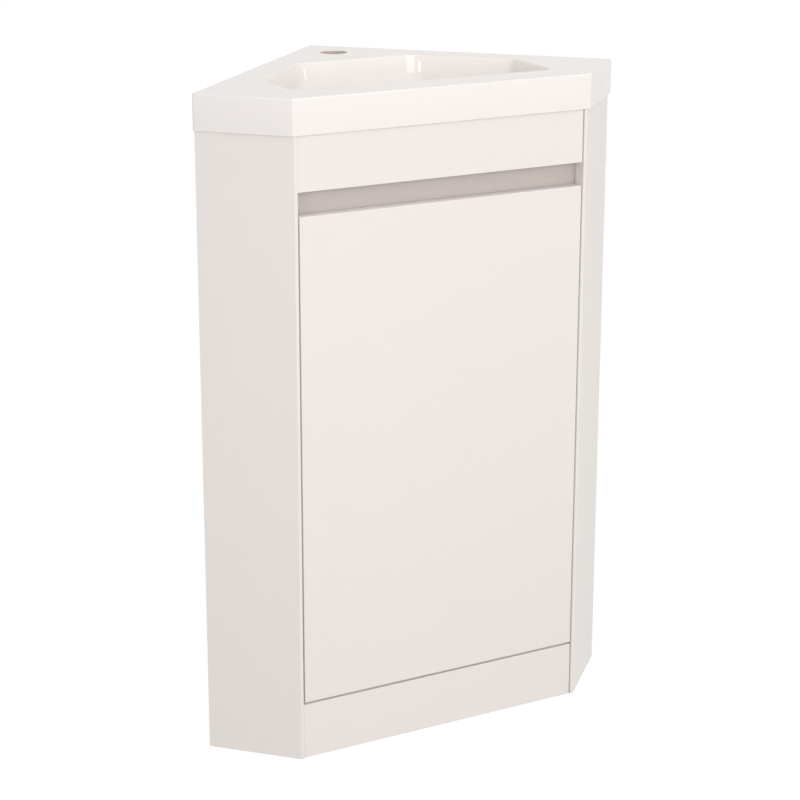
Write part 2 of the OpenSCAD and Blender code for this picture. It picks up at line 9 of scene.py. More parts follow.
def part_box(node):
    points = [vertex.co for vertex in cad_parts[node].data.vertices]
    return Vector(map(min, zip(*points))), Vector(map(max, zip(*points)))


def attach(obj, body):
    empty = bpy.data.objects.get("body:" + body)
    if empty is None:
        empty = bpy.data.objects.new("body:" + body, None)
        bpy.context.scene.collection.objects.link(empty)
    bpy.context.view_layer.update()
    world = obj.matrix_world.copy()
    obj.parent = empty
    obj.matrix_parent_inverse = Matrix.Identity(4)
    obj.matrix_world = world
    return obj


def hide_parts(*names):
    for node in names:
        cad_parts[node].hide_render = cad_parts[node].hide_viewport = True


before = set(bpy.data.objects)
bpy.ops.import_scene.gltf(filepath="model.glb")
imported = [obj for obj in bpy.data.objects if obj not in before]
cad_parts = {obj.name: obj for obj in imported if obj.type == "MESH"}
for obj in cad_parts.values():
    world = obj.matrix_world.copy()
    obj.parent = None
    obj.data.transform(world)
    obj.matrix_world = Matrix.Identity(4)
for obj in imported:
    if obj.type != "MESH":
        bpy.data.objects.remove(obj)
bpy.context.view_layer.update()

# ---------------------------------------------------------------------------
# Camera: it stands at the front left of the unit, higher than the deck, with a long lens. The lens
# looks at a picture row above the middle one, so the picture is shifted down a little.
# ---------------------------------------------------------------------------
IMAGE_PIXELS = 800
SENSOR_MM = 36
FOCAL_PIXELS = 2084.5
LENS_ROW = 320
CAMERA_YAW, CAMERA_PITCH, CAMERA_ROLL = (math.radians(a) for a in (28.05, -15.655, 0.087))
CAMERA_PLACE = Vector((-1.219, -2.359, 1.249))
CAMERA_REACH = 50

ahead = Vector((
    math.sin(CAMERA_YAW) * math.cos(CAMERA_PITCH),
    math.cos(CAMERA_YAW) * math.cos(CAMERA_PITCH),
    math.sin(CAMERA_PITCH),
))
level_right = Vector((math.cos(CAMERA_YAW), -math.sin(CAMERA_YAW), 0))
level_up = level_right.cross(ahead)
camera_right = level_right * math.cos(CAMERA_ROLL) + level_up * math.sin(CAMERA_ROLL)
camera_up = level_up * math.cos(CAMERA_ROLL) - level_right * math.sin(CAMERA_ROLL)
camera_axes = Matrix((camera_right, camera_up, -ahead)).transposed().to_4x4()

camera_data = bpy.data.cameras.new("studio_camera")
camera_data.sensor_width = SENSOR_MM
camera_data.lens = FOCAL_PIXELS / IMAGE_PIXELS * SENSOR_MM
camera_data.shift_y = -(IMAGE_PIXELS / 2 - LENS_ROW) / IMAGE_PIXELS
camera_data.clip_end = CAMERA_REACH
camera = bpy.data.objects.new("studio_camera", camera_data)
camera.matrix_world = Matrix.Translation(CAMERA_PLACE) @ camera_axes
bpy.context.scene.collection.objects.link(camera)
bpy.context.scene.camera = camera
bpy.context.scene.view_settings.view_transform = "Standard"

# ---------------------------------------------------------------------------
# Studio: soft lamps in a bright room, over a plain white floor. The camera and polished metal see
# the room and the floor as white, and the floor keeps part of the unit's shadow.
# ---------------------------------------------------------------------------
ROOM_LIGHT = 0.575
ROOM_COLOUR = (1.0, 0.965, 0.935, 1)
WHITE = (1, 1, 1, 1)
FLOOR_PAINT = (0.56, 0.55, 0.54, 1)
FLOOR_SHADOW_SHARE = 0.2
FLOOR_GLOW = 1.18
FLOOR_HALF = 12


def add_node(tree, kind, **values):
    """Adds a shader node. Values named after its sockets go to them, the others to the node."""
    node = tree.nodes.new(kind)
    for name, value in values.items():
        socket = name.replace("_", " ").title()
        if socket in node.inputs:
            node.inputs[socket].default_value = value
        else:
            setattr(node, name, value)
    return node


def seen_white(tree):
    """1 for rays that look: from the camera, off gloss or through glass. 0 for rays that light."""
    path = tree.nodes.new("ShaderNodeLightPath")
    polished = add_node(tree, "ShaderNodeMath", operation="MAXIMUM")
    tree.links.new(path.outputs["Is Camera Ray"], polished.inputs[0])
    tree.links.new(path.outputs["Is Glossy Ray"], polished.inputs[1])
    through = add_node(tree, "ShaderNodeMath", operation="MAXIMUM")
    tree.links.new(polished.outputs[0], through.inputs[0])
    tree.links.new(path.outputs["Is Transmission Ray"], through.inputs[1])
    return through.outputs[0]


world = bpy.data.worlds.new("studio_room")
world.use_nodes = True
tree = world.node_tree
tree.nodes.clear()
room_out = tree.nodes.new("ShaderNodeOutputWorld")
room_light = add_node(tree, "ShaderNodeBackground", color=ROOM_COLOUR, strength=ROOM_LIGHT)
room_seen = add_node(tree, "ShaderNodeBackground", color=WHITE, strength=1.0)
room_mix = tree.nodes.new("ShaderNodeMixShader")
tree.links.new(seen_white(tree), room_mix.inputs[0])
tree.links.new(room_light.outputs[0], room_mix.inputs[1])
tree.links.new(room_seen.outputs[0], room_mix.inputs[2])
tree.links.new(room_mix.outputs[0], room_out.inputs[0])
bpy.context.scene.world = world


def softbox(name, place, look_at, size, watts, colour):
    lamp = bpy.data.lights.new(name, "AREA")
    lamp.shape = "RECTANGLE"
    lamp.size, lamp.size_y = size
    lamp.energy = watts
    lamp.color = colour
    holder = bpy.data.objects.new(name, lamp)
    holder.location = place
    holder.rotation_euler = (Vector(look_at) - Vector(place)).to_track_quat("-Z", "Y").to_euler()
    bpy.context.scene.collection.objects.link(holder)


softbox("front_softbox", place=(-0.25, -3.2, 1.45), look_at=(0, 0, 0.5), size=(2.6, 1.7),
        watts=37.0, colour=(0.98, 0.985, 1.0))
softbox("high_softbox", place=(0.3, -1.5, 2.0), look_at=(0, 0, 0.7), size=(1.2, 0.8),
        watts=3.0, colour=(1.0, 1.0, 1.0))
softbox("top_softbox", place=(0.0, 0.0, 3.2), look_at=(0, 0, 0.8), size=(2.2, 2.2),
        watts=5.5, colour=(1.0, 0.86, 0.7))
softbox("left_softbox", place=(-2.3, -1.93, 1.25), look_at=(0, 0, 0.6), size=(0.5, 0.8),
        watts=8.2, colour=(0.95, 0.97, 1.0))
softbox("right_softbox", place=(1.93, -2.3, 1.38), look_at=(0, 0, 0.8), size=(0.45, 0.4),
        watts=3.4, colour=(1.0, 0.9, 0.76))

floor_corners = [
    (x * FLOOR_HALF, y * FLOOR_HALF, 0) for x, y in ((-1, -1), (1, -1), (1, 1), (-1, 1))]
floor_mesh = bpy.data.meshes.new("studio_floor")
floor_mesh.from_pydata(floor_corners, [], [(0, 1, 2, 3)])
floor = bpy.data.objects.new("studio_floor", floor_mesh)
bpy.context.scene.collection.objects.link(floor)
floor_paint = bpy.data.materials.new("studio_floor_white")
floor_paint.use_nodes = True
tree = floor_paint.node_tree
tree.nodes.clear()
floor_out = tree.nodes.new("ShaderNodeOutputMaterial")
floor_matt = add_node(tree, "ShaderNodeBsdfDiffuse", color=FLOOR_PAINT)
floor_glow = add_node(tree, "ShaderNodeEmission", color=WHITE, strength=FLOOR_GLOW)
floor_share = add_node(tree, "ShaderNodeMath", operation="MULTIPLY")
floor_share.inputs[1].default_value = 1 - FLOOR_SHADOW_SHARE
floor_mix = tree.nodes.new("ShaderNodeMixShader")
tree.links.new(seen_white(tree), floor_share.inputs[0])
tree.links.new(floor_share.outputs[0], floor_mix.inputs[0])
tree.links.new(floor_matt.outputs[0], floor_mix.inputs[1])
tree.links.new(floor_glow.outputs[0], floor_mix.inputs[2])
tree.links.new(floor_mix.outputs[0], floor_out.inputs[0])
floor_mesh.materials.append(floor_paint)

# ---------------------------------------------------------------------------
# Basin: one casting in marble resin under a glossy white gel coat, poured in a polished mould that
# eases every edge. The bowl's back wall drops to a sloping shelf, the tap hole is drilled
# afterwards, and the casting rests on the top edges of the cabinet.
# ---------------------------------------------------------------------------
MM = 0.001
basin_low, basin_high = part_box("basin")
BASIN_TOP = basin_high.z / MM
BASIN_FRONT = basin_low.y / MM
BASIN_HALF_W = basin_high.x / MM
BASIN_DEPTH = (basin_high.y - basin_low.y) / MM
RETURN_RUN = BASIN_DEPTH - BASIN_HALF_W
FRONT_HALF = BASIN_HALF_W - RETURN_RUN
APRON_H = 45
RIM_W, RIM_CORNER_R = 20, 1.2
DECK_T = 15
CORNER_EASE = 3.0
EDGE_EASE = 2.2
LIP_EASE = 0.8
LEVEL_BAND = 1      # flat strip beside an eased edge, which keeps the gloss of the flat even
DECK_FRONT_W, DECK_SIDE_W, DECK_WALL_W, DECK_BACK_W = 50, 26, 39, 139
BOWL_DEPTH = 85
BOWL_STEP, BOWL_STEP_EASE = 24, 1.4
BOWL_DRAFT = 12
BOWL_LEAN = math.tan(math.radians(10.5))
BOWL_SLOPE_RUN = (BOWL_DEPTH - BOWL_STEP) / math.tan(math.radians(48))
BOWL_CORNER_R, BOWL_BACK_R = 14, 30
BOWL_FLOOR_R = 22
BOWL_CURVE_DEPTH = BOWL_DEPTH - BOWL_FLOOR_R
BOWL_LIP_R = 2.6
BOWL_WALL = 8
LEAST_CORNER_R, LEAST_GROWN_R = 1.0, 0.6      # keep a tight corner from folding over
TAP_R, TAP_LIP_R, TAP_SETBACK = 18, 1.2, 74
WASTE_FROM_FRONT = 125
WASTE_HOLE_R = 22.5
WASTE_SEAT_R, WASTE_SEAT_DEPTH = 32.5, 7
WASTE_DISH_R, WASTE_FALL = 40.7, 3
WASTE_DISH_EDGE_W, WASTE_DISH_EDGE_FALL = 1, 0.12
WASTE_LEDGE_W, WASTE_LEDGE_ABOVE, WASTE_LEDGE_BELOW = 0.8, 0.1, 0.6
WASTE_BOSS_R, WASTE_BOSS_DEPTH, WASTE_BOSS_EASE = 36, 101, 1
ROOT2 = math.sqrt(2)
CRISP_ANGLE = math.radians(35)
WELD_GAP = 1e-5
KEEP_THE_EDGES = 2      # the kind of flat fill that runs along every edge it is given


class Skin:
    """Collects the rings of points and the faces of one closed mesh, in millimetres."""

    def __init__(self):
        self.points = []
        self.faces = []

    def ring(self, outline, z):
        start = len(self.points)
        self.points += [(x, y, z) for x, y in outline]
        return list(range(start, len(self.points)))

    def join(self, low, high):
        """Quads between two rings, facing out where the rings run anticlockwise upwards."""
        n = len(low)
        for i in range(n):
            j = (i + 1) % n
            self.faces.append((low[i], low[j], high[j], high[i]))

    def stack(self, rings):
        for low, high in zip(rings, rings[1:]):
            self.join(low, high)

    def cover(self, loops, up):
        """Fills the flat space between an outer loop and the loops inside it."""
        ids = [i for loop in loops for i in loop]
        spots = [Vector(self.points[i][:2]) for i in ids]
        edges, start = [], 0
        for loop in loops:
            n = len(loop)
            edges += [(start + k, start + (k + 1) % n) for k in range(n)]
            start += n
        corners_2d, _, fills, origins, _, _ = delaunay_2d_cdt(
            spots, edges, [], KEEP_THE_EDGES, WELD_GAP)
        if len(corners_2d) != len(ids):
            raise ValueError("a flat cover has crossing edges")
        for fill in fills:
            middle = sum((corners_2d[k] for k in fill), Vector((0, 0))) / len(fill)
            if any(inside(middle, [self.points[i] for i in loop]) for loop in loops[1:]):
                continue
            corners = [ids[origins[k][0]] for k in fill]
            a, b, c = (Vector(self.points[k][:2]) for k in corners[:3])
            if ((b - a).cross(c - a) > 0) != up:
                corners.reverse()
            self.faces.append(tuple(corners))

    def place_copy(self, other, where):
        """Adds another skin, moved to its place."""
        start = len(self.points)
        self.points += [tuple(where @ Vector(p)) for p in other.points]
        self.faces += [tuple(start + k for k in face) for face in other.faces]

    def build(self, name):
        mesh = bpy.data.meshes.new(name)
        mesh.from_pydata([Vector(p) * MM for p in self.points], [], self.faces)
        mesh.validate()
        for face in mesh.polygons:
            face.use_smooth = True
        piece = bpy.data.objects.new(name, mesh)
        bpy.context.scene.collection.objects.link(piece)
        return piece


def inside(spot, loop):
    hit = False
    for k, (x1, y1, _) in enumerate(loop):
        x2, y2, _ = loop[k - 1]
        if (y1 > spot.y) != (y2 > spot.y) and spot.x < (x2 - x1) * (spot.y - y1) / (y2 - y1) + x1:
            hit = not hit
    return hit


def circle(centre_y, radius, steps=64):
    turn = 2 * math.pi / steps
    return [
        (radius * math.cos(turn * k), centre_y + radius * math.sin(turn * k)) for k in range(steps)]


def rounded(corners, radii, steps=8):
    """The outline through these anticlockwise corners, each rounded to its radius."""
    outline = []
    for k, (corner, radius) in enumerate(zip(corners, radii)):
        here, before, after = (
            Vector(p) for p in (corner, corners[k - 1], corners[(k + 1) % len(corners)]))
        back, on = (before - here).normalized(), (after - here).normalized()
        half = back.angle(on) / 2
        centre = here + (back + on).normalized() * (radius / math.sin(half))
        start = here + back * (radius / math.tan(half)) - centre
        sweep = math.pi - 2 * half
        for s in range(steps + 1):
            a = sweep * s / steps
            outline.append((
                centre.x + start.x * math.cos(a) - start.y * math.sin(a),
                centre.y + start.x * math.sin(a) + start.y * math.cos(a),
            ))
    return outline


def quarter(steps):
    """(across, down) along a quarter round, each from 0 to 1: it leaves flat and ends upright."""
    turns = [math.pi / 2 * k / steps for k in range(steps + 1)]
    return [(math.sin(turn), 1 - math.cos(turn)) for turn in turns]


def basin_outline(inset, radius):
    """The basin's plan, drawn in from its edges by inset."""
    front = BASIN_FRONT + inset
    shift = inset * ROOT2
    side = FRONT_HALF - BASIN_FRONT - shift      # right-hand return: x - y = side
    wall = FRONT_HALF + BASIN_FRONT + 2 * RETURN_RUN - shift      # right-hand wall: x + y = wall
    far_x, far_y = (wall + side) / 2, (wall - side) / 2
    corners = [
        (-side - front, front), (side + front, front), (far_x, far_y), (0, wall), (-far_x, far_y)]
    return rounded(corners, [radius] * len(corners))


def bowl_wall_inset(depth, run):
    """How far a wall has come in at a depth, where the floor line lies run further in."""
    top = BOWL_LEAN * min(depth, BOWL_STEP)
    if depth <= BOWL_STEP:
        return top
    drop = BOWL_CURVE_DEPTH - BOWL_STEP
    reach = run + BOWL_FLOOR_R - top
    lean = math.atan2(drop, reach) + math.asin(min(1, BOWL_FLOOR_R / math.hypot(drop, reach)))
    lean = min(lean, math.pi / 2)
    touch = BOWL_CURVE_DEPTH + BOWL_FLOOR_R * math.cos(lean)
    if depth < touch:
        return top + (depth - BOWL_STEP) / math.tan(lean)
    fall = min(1.0, (depth - BOWL_CURVE_DEPTH) / BOWL_FLOOR_R)
    return top + reach - BOWL_FLOOR_R * math.sqrt(max(0.0, 1 - fall * fall))


def eased_inset(depth, run):
    """The same, with the break below the upright wall rounded over a few millimetres."""
    if not 2 * BOWL_STEP_EASE < depth < BOWL_STEP + 2 * BOWL_STEP_EASE:
        return bowl_wall_inset(depth, run)
    spread = ((-1, 0.25), (0, 0.5), (1, 0.25))
    return sum(share * bowl_wall_inset(depth + k * BOWL_STEP_EASE, run) for k, share in spread)


def bowl_outline(depth, grow=0.0):
    """The bowl's outline at a depth below the deck, grown for the outer skin and for the lip."""
    steep = eased_inset(depth, BOWL_DRAFT) - grow
    slope = eased_inset(depth, BOWL_SLOPE_RUN) - grow
    front = BASIN_FRONT + DECK_FRONT_W + steep
    half_w = FRONT_HALF - DECK_SIDE_W - steep
    sum_line = BASIN_FRONT + BASIN_DEPTH - (DECK_WALL_W + steep) * ROOT2
    back = BASIN_FRONT + BASIN_DEPTH - DECK_BACK_W - slope
    side_back = (half_w, sum_line - half_w)
    back_end = (sum_line - back, back)
    below = max(0.0, depth - BOWL_CURVE_DEPTH) / BOWL_FLOOR_R
    upper = min(1.0, max(0.0, (depth - BOWL_STEP) / (BOWL_CURVE_DEPTH - BOWL_STEP)))
    shrink = math.sqrt(max(0.0, 1 - min(1.0, below) ** 2))
    front_r, back_r = (
        max(LEAST_GROWN_R, max(LEAST_CORNER_R, (r + (BOWL_FLOOR_R - r) * upper) * shrink) + grow)
        for r in (BOWL_CORNER_R, BOWL_BACK_R))
    return rounded([
        (-half_w, front), (half_w, front), side_back, back_end,
        (-back_end[0], back), (-side_back[0], side_back[1]),
    ], [front_r, front_r, front_r, back_r, back_r, front_r], steps=10)


basin_skin = Skin()
apron_foot = BASIN_TOP - APRON_H
waste_y = BASIN_FRONT + WASTE_FROM_FRONT
tap_y = BASIN_FRONT + BASIN_DEPTH - TAP_SETBACK

# Outside, from the rim's inner foot round the apron to the deck
outside = [(RIM_W, RIM_CORNER_R, BASIN_TOP - DECK_T)]
for across, down in quarter(3)[::-1]:
    outside.append((RIM_W - LIP_EASE * (1 - across), RIM_CORNER_R, apron_foot + LIP_EASE * down))
for across, down in quarter(4):
    outside.append((LIP_EASE * (1 - across), CORNER_EASE, apron_foot + LIP_EASE * down))
for across, down in quarter(6)[::-1]:
    outside.append((EDGE_EASE * (1 - across), CORNER_EASE, BASIN_TOP - EDGE_EASE * down))
outside.append((EDGE_EASE + LEVEL_BAND, CORNER_EASE, BASIN_TOP))
outer_rings = [basin_skin.ring(basin_outline(inset, radius), z) for inset, radius, z in outside]
basin_skin.stack(outer_rings)

# Bowl, from the deck over its lip and down to the floor
bowl_rings = [basin_skin.ring(bowl_outline(0, BOWL_LIP_R + LEVEL_BAND), BASIN_TOP)]
for across, down in quarter(6):
    bowl_rings.append(basin_skin.ring(
        bowl_outline(0, BOWL_LIP_R * (1 - across)), BASIN_TOP - BOWL_LIP_R * down))
upright_depths = [5, 10, 15, 19]
break_depths = [BOWL_STEP + k / 2 for k in range(-6, 7)] + [BOWL_STEP + 5]
wall_depths = [34, 40, 46, 52, 57, 61]
floor_depths = [BOWL_CURVE_DEPTH + BOWL_FLOOR_R * across for across, _ in quarter(14)]
for depth in upright_depths + break_depths + wall_depths + floor_depths:
    bowl_rings.append(basin_skin.ring(bowl_outline(depth), BASIN_TOP - depth))
basin_skin.stack(bowl_rings)

# Waste well: the floor's fall, the flange's seat and the hole through the boss
well = [
    (WASTE_DISH_R, BOWL_DEPTH),
    (WASTE_DISH_R - WASTE_DISH_EDGE_W, BOWL_DEPTH + WASTE_DISH_EDGE_FALL),
    (WASTE_SEAT_R + WASTE_LEDGE_W, BOWL_DEPTH + WASTE_FALL - WASTE_LEDGE_ABOVE),
    (WASTE_SEAT_R, BOWL_DEPTH + WASTE_FALL + WASTE_LEDGE_BELOW),
    (WASTE_SEAT_R, BOWL_DEPTH + WASTE_SEAT_DEPTH),
    (WASTE_HOLE_R, BOWL_DEPTH + WASTE_SEAT_DEPTH),
    (WASTE_HOLE_R, WASTE_BOSS_DEPTH),
    (WASTE_BOSS_R - WASTE_BOSS_EASE, WASTE_BOSS_DEPTH),
    (WASTE_BOSS_R, WASTE_BOSS_DEPTH - WASTE_BOSS_EASE),
    (WASTE_BOSS_R, BOWL_DEPTH + BOWL_WALL),
]
well_rings = [basin_skin.ring(circle(waste_y, r), BASIN_TOP - depth) for r, depth in well]
basin_skin.stack(well_rings)

# Tap hole, with its lip eased like the bowl's
tap_hole = [(TAP_R + TAP_LIP_R + LEVEL_BAND, 0)]
tap_hole += [(TAP_R + TAP_LIP_R * (1 - across), TAP_LIP_R * down) for across, down in quarter(4)]
tap_hole.append((TAP_R, DECK_T))
tap_rings = [basin_skin.ring(circle(tap_y, r), BASIN_TOP - depth) for r, depth in tap_hole]
basin_skin.stack(tap_rings)

basin_skin.cover([outer_rings[-1], bowl_rings[0], tap_rings[0]], up=True)
basin_skin.cover([bowl_rings[-1], well_rings[0]], up=True)

# Outer skin of the bowl under the deck, left raw as it comes off the back of the mould
raw_from = len(basin_skin.faces)
shell_depths = [24, 28, 34, 44, 54, 60] + floor_depths[1:]
shell_rings = [basin_skin.ring(bowl_outline(DECK_T, BOWL_WALL), BASIN_TOP - DECK_T)]
for depth in shell_depths:
    drop = depth + BOWL_WALL * max(0.0, depth - BOWL_CURVE_DEPTH) / BOWL_FLOOR_R
    shell_rings.append(basin_skin.ring(bowl_outline(depth, BOWL_WALL), BASIN_TOP - drop))
basin_skin.stack(shell_rings)
basin_skin.cover([outer_rings[0], shell_rings[0], tap_rings[-1]], up=False)
basin_skin.cover([shell_rings[-1], well_rings[-1]], up=False)
basin_piece = basin_skin.build("basin_casting")


def even_normals(piece):
    """Turns all faces of a closed piece outwards, and shades over its soft edges only."""
    mesh = bmesh.new()
    mesh.from_mesh(piece.data)
    bmesh.ops.recalc_face_normals(mesh, faces=mesh.faces)
    for edge in mesh.edges:
        edge.smooth = edge.calc_face_angle(0) < CRISP_ANGLE
    mesh.to_mesh(piece.data)
    mesh.free()


even_normals(basin_piece)


def new_group(name, inputs, outputs):
    """A shader node group with named inputs (name, kind, default) and outputs (name, kind)."""
    group = bpy.data.node_groups.new(name, "ShaderNodeTree")
    for label, kind, value in inputs:
        socket = group.interface.new_socket(name=label, in_out="INPUT", socket_type=kind)
        socket.default_value = value
    for label, kind in outputs:
        group.interface.new_socket(name=label, in_out="OUTPUT", socket_type=kind)
    return group, group.nodes.new("NodeGroupInput"), group.nodes.new("NodeGroupOutput")


# Poured or sprayed finish: slow ripple, faint mottling of the colour and patches of softer gloss
NOISE_MIDDLE = 0.5
finish_group, finish_in, finish_out = new_group(
    "gloss_finish",
    [("Colour", "NodeSocketColor", (0.9, 0.9, 0.9, 1)),
     ("Warm", "NodeSocketColor", (0.85, 0.83, 0.8, 1)),
     ("Mottle", "NodeSocketFloat", 0.1),
     ("Ripple Size", "NodeSocketFloat", 60.0),
     ("Ripple Height", "NodeSocketFloat", 0.02),
     ("Gloss", "NodeSocketFloat", 0.2),
     ("Gloss Spread", "NodeSocketFloat", 0.05)],
    [("Colour", "NodeSocketColor"), ("Roughness", "NodeSocketFloat"),
     ("Normal", "NodeSocketVector")],
)
tree = finish_group
place = add_node(tree, "ShaderNodeTexCoord")
mottle = add_node(tree, "ShaderNodeTexNoise", scale=9.0, detail=4.0, roughness=0.55)
mottle_share = add_node(tree, "ShaderNodeMath", operation="MULTIPLY")
colours = add_node(tree, "ShaderNodeMix", data_type="RGBA")
ripple = add_node(tree, "ShaderNodeTexNoise", detail=2.0, roughness=0.4)
bump = add_node(tree, "ShaderNodeBump", strength=1.0)
bump_size = add_node(tree, "ShaderNodeMath", operation="MULTIPLY")
bump_size.inputs[1].default_value = MM
patches = add_node(tree, "ShaderNodeTexNoise", scale=3.5, detail=3.0, roughness=0.6)
patch_shift = add_node(tree, "ShaderNodeMath", operation="SUBTRACT")
patch_shift.inputs[1].default_value = NOISE_MIDDLE
patch_share = add_node(tree, "ShaderNodeMath", operation="MULTIPLY_ADD")
for noise in (mottle, ripple, patches):
    tree.links.new(place.outputs["Object"], noise.inputs["Vector"])
tree.links.new(finish_in.outputs["Ripple Size"], ripple.inputs["Scale"])
tree.links.new(mottle.outputs[0], mottle_share.inputs[0])
tree.links.new(finish_in.outputs["Mottle"], mottle_share.inputs[1])
tree.links.new(mottle_share.outputs[0], colours.inputs["Factor"])
tree.links.new(finish_in.outputs["Colour"], colours.inputs["A"])
tree.links.new(finish_in.outputs["Warm"], colours.inputs["B"])
tree.links.new(finish_in.outputs["Ripple Height"], bump_size.inputs[0])
tree.links.new(bump_size.outputs[0], bump.inputs["Distance"])
tree.links.new(ripple.outputs[0], bump.inputs["Height"])
tree.links.new(patches.outputs[0], patch_shift.inputs[0])
tree.links.new(patch_shift.outputs[0], patch_share.inputs[0])
tree.links.new(finish_in.outputs["Gloss Spread"], patch_share.inputs[1])
tree.links.new(finish_in.outputs["Gloss"], patch_share.inputs[2])
tree.links.new(colours.outputs["Result"], finish_out.inputs["Colour"])
tree.links.new(patch_share.outputs[0], finish_out.inputs["Roughness"])
tree.links.new(bump.outputs[0], finish_out.inputs["Normal"])


def linear(r, g, b):
    """Turns a colour read in 8-bit picture values into the shader's linear values."""
    return tuple(
        ((c / 255 + 0.055) / 1.055) ** 2.4 if c > 10 else c / 255 / 12.92 for c in (r, g, b)
    ) + (1,)


def glossy(name, colour, warm, mottle, ripple_size, ripple_height, gloss, gloss_spread):
    """A paint, coat or plate with the gloss finish. The ripple's height is in millimetres."""
    paint = bpy.data.materials.new(name)
    paint.use_nodes = True
    tree = paint.node_tree
    shader = tree.nodes["Principled BSDF"]
    shader.inputs["IOR"].default_value = 1.5
    finish = tree.nodes.new("ShaderNodeGroup")
    finish.node_tree = finish_group
    for label, value in (
        ("Colour", colour), ("Warm", warm), ("Mottle", mottle), ("Ripple Size", ripple_size),
        ("Ripple Height", ripple_height), ("Gloss", gloss), ("Gloss Spread", gloss_spread),
    ):
        finish.inputs[label].default_value = value
    tree.links.new(finish.outputs["Colour"], shader.inputs["Base Color"])
    tree.links.new(finish.outputs["Roughness"], shader.inputs["Roughness"])
    tree.links.new(finish.outputs["Normal"], shader.inputs["Normal"])
    return paint


gel_coat = glossy(
    "gel_coat_white", linear(249, 246, 244), linear(244, 240, 236), mottle=0.35,
    ripple_size=22.0, ripple_height=0.06, gloss=0.13, gloss_spread=0.05)
gel_shader = gel_coat.node_tree.nodes["Principled BSDF"]
gel_shader.inputs["Specular IOR Level"].default_value = 0.05
gel_shader.inputs["Coat Weight"].default_value = 0.45
gel_shader.inputs["Coat IOR"].default_value = 1.8
gel_shader.inputs["Coat Roughness"].default_value = 0.06
basin_piece.data.materials.append(gel_coat)

# Raw resin shows under the casting and where the tap hole and the waste's hole are drilled in it.
# On the tap hole's wall its darker tone also paints the shade inside the hole.
raw_resin_and_hole_shade = glossy(
    "raw_cast_resin_and_hole_shade", linear(216, 207, 200), linear(200, 191, 183), mottle=0.8,
    ripple_size=700.0, ripple_height=0.05, gloss=0.6, gloss_spread=0.1)
raw_and_hole_shade_slot = len(basin_piece.data.materials)
basin_piece.data.materials.append(raw_resin_and_hole_shade)
NEAR = 0.1      # how far a face may lie off its wall and still be counted to it
for face in basin_piece.data.polygons:
    x, y, z = face.center / MM
    depth = BASIN_TOP - z
    # the tap hole's wall gets the darker resin as bare resin and as painted shade inside the hole
    in_tap_hole = math.hypot(x, y - tap_y) < TAP_R + NEAR and depth > TAP_LIP_R
    in_waste_hole = depth > BOWL_DEPTH + WASTE_SEAT_DEPTH + NEAR
    if face.index >= raw_from or in_tap_hole or in_waste_hole:
        face.material_index = raw_and_hole_shade_slot
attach(basin_piece, "root")
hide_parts("basin")

# ---------------------------------------------------------------------------
# Gloss boards: side panels, fascia, plinth and the rail behind the finger recess. They are MDF with
# a sprayed and polished warm white lacquer, their edges eased by the sanding before the last coat.
# The rail's lacquer is painted a darker grey, as painted shade in the finger recess.
# ---------------------------------------------------------------------------
BOARD_EASE = 0.9 * MM
TIP_EASE = 1.5 * MM
FLAT_ANGLE = math.radians(1)
EASE_STEPS = 3


def ease_edges(node, width):
    """Rounds the edges of a board whose shape the frame gives."""
    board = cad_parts[node]
    weld = board.modifiers.new("weld", "WELD")
    weld.merge_threshold = WELD_GAP
    flats = board.modifiers.new("flats", "DECIMATE")
    flats.decimate_type = "DISSOLVE"
    flats.angle_limit = FLAT_ANGLE
    ease = board.modifiers.new("eased_edges", "BEVEL")
    ease.width = width
    ease.segments = EASE_STEPS
    ease.limit_method = "ANGLE"
    ease.angle_limit = CRISP_ANGLE
    board.data.shade_smooth()
    flat_shade = board.modifiers.new("flat_faces_stay_flat", "WEIGHTED_NORMAL")
    flat_shade.mode = "FACE_AREA"
    flat_shade.weight = 100


def finish_node(node, paint):
    """Paints a piece whose shape the frame gives."""
    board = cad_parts[node]
    if not board.data.materials:
        board.data.materials.append(paint)
    for slot in board.material_slots:
        slot.material = paint


lacquer = glossy(
    "warm_white_lacquer", linear(243, 239, 236), linear(238, 233, 229), mottle=0.35,
    ripple_size=90.0, ripple_height=0.012, gloss=0.24, gloss_spread=0.06)
# Painted shade: the recess rail's lacquer is a darker grey so that the finger recess looks shaded
recess_shade_lacquer = glossy(
    "recess_painted_shade_lacquer", linear(199, 192, 188), linear(192, 185, 181), mottle=0.35,
    ripple_size=90.0, ripple_height=0.012, gloss=0.4, gloss_spread=0.06)
for node, width, paint in (
    ("left_side_panel", TIP_EASE, lacquer), ("right_side_panel", TIP_EASE, lacquer),
    ("fascia_panel", BOARD_EASE, lacquer), ("plinth_board", BOARD_EASE, lacquer),
    ("recess_rail", BOARD_EASE, recess_shade_lacquer),
):
    ease_edges(node, width)
    finish_node(node, paint)

# ---------------------------------------------------------------------------
# Door: one lacquered board like the others, hung a little to the latch side, so that its gap is
# wider beside the hinges. Two blind holes in its back take the hinge cups, and its edges are eased.
# ---------------------------------------------------------------------------
door_low, door_high = (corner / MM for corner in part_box("door_panel"))
cup_low, cup_high = (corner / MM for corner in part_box("hinge_cups"))
DOOR_HANG = 1.1
DOOR_FOOT = 0.4
DOOR_EASE, DOOR_CORNER_R = 0.9, 0.3
CUP_BORE_R, CUP_BORE_DEPTH, CUP_BORE_STEPS = 17.6, 12.0, 48
CUP_FLANGE_HALF = 31


def door_outline(inset):
    left, right = door_low.x + DOOR_HANG + inset, door_high.x + DOOR_HANG - inset
    foot, top = door_low.z - DOOR_FOOT + inset, door_high.z - inset
    corners = [(left, foot), (right, foot), (right, top), (left, top)]
    return rounded(corners, [DOOR_CORNER_R] * len(corners), steps=2)


